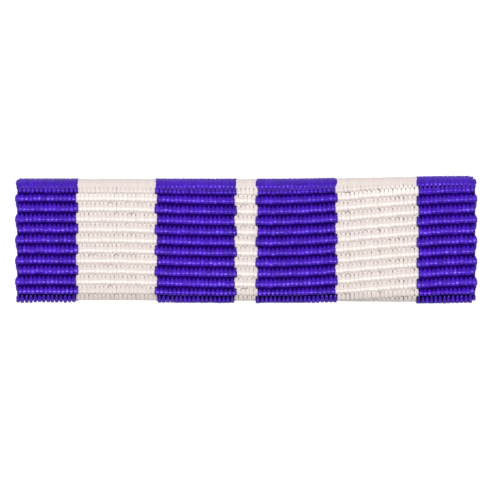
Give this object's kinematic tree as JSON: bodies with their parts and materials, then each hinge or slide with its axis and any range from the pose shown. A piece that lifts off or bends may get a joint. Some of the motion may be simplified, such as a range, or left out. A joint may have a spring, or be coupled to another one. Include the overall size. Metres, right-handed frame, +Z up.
{
  "type": "service ribbon bar",
  "caption": "Service ribbon bar: striped woven ribbon on a slide-on channel, worn on a posted mounting bar held by pinch-release butterfly clutches.",
  "frame": {"origin": "midway between the two posts, on the plane of the cloth that the bar is worn on, which the ribbon's tails rest against", "axes": "the ribbon faces -Y, the posts point to +Y into the cloth, +X runs along the bar to the right as the ribbon is looked at, +Z is up as worn"},
  "size_m": [0.035, 0.0101, 0.0096],
  "materials": {
    "ribbon_purple": "ribbed woven rayon, soft sheen",
    "ribbon_white": "ribbed woven rayon, soft sheen",
    "adhesive_film": "double-sided tape, matte",
    "channel_brass": "rolled sheet, satin",
    "bar_brass": "rolled strip, brushed",
    "post_steel": "drawn wire, bright",
    "clutch_brass": "stamped and tumbled, bright",
    "wing_brass": "spring-temper sheet, bright",
    "spring_steel": "blued spring strip, satin"
  },
  "bodies": {
    "bar": {"mounting_bar": "bar_brass", "post_left": "post_steel", "post_right": "post_steel"},
    "ribbon_unit": {"ribbon": "ribbon_purple", "adhesive_strip": "adhesive_film", "backing_channel": "channel_brass"},
    "clutch_left": {"clutch_left_base": "clutch_brass", "clutch_left_cap": "clutch_brass", "clutch_left_spring": "spring_steel"},
    "wing_left_outer": {"clutch_left_wing_outer": "wing_brass"},
    "wing_left_inner": {"clutch_left_wing_inner": "wing_brass"},
    "clutch_right": {"clutch_right_base": "clutch_brass", "clutch_right_cap": "clutch_brass", "clutch_right_spring": "spring_steel"},
    "wing_right_outer": {"clutch_right_wing_outer": "wing_brass"},
    "wing_right_inner": {"clutch_right_wing_inner": "wing_brass"}
  },
  "joints": [
    {"name": "ribbon_slide", "type": "slide", "parent": "bar", "child": "ribbon_unit", "axis": [1, 0, 0], "range_m": [-0.036, 0.036]},
    {"name": "clutch_left_pull", "type": "slide", "parent": "bar", "child": "clutch_left", "axis": [0, 1, 0], "range_m": [-0.001, 0.0066]},
    {"name": "clutch_left_pinch", "type": "hinge", "parent": "clutch_left", "child": "wing_left_outer", "pos_m": [-0.0133, 0.0045, 0], "axis": [0, 0, -1], "range_deg": [0, 10], "stiffness_Nm_per_rad": 0.01, "springref_deg": -5.73, "deforming": ["clutch_left_spring"]},
    {"name": "clutch_left_pinch_inner", "type": "hinge", "parent": "clutch_left", "child": "wing_left_inner", "pos_m": [-0.0089, 0.0045, 0], "axis": [0, 0, 1], "range_deg": [0, 10]},
    {"name": "clutch_right_pull", "type": "slide", "parent": "bar", "child": "clutch_right", "axis": [0, 1, 0], "range_m": [-0.001, 0.0066]},
    {"name": "clutch_right_pinch", "type": "hinge", "parent": "clutch_right", "child": "wing_right_outer", "pos_m": [0.0133, 0.0045, 0], "axis": [0, 0, 1], "range_deg": [0, 10], "stiffness_Nm_per_rad": 0.01, "springref_deg": -5.73, "deforming": ["clutch_right_spring"]},
    {"name": "clutch_right_pinch_inner", "type": "hinge", "parent": "clutch_right", "child": "wing_right_inner", "pos_m": [0.0089, 0.0045, 0], "axis": [0, 0, -1], "range_deg": [0, 10]}
  ],
  "couplings": [
    {"joint": "clutch_left_pinch_inner", "follows": "clutch_left_pinch", "ratio": 1},
    {"joint": "clutch_right_pinch_inner", "follows": "clutch_right_pinch", "ratio": 1}
  ]
}
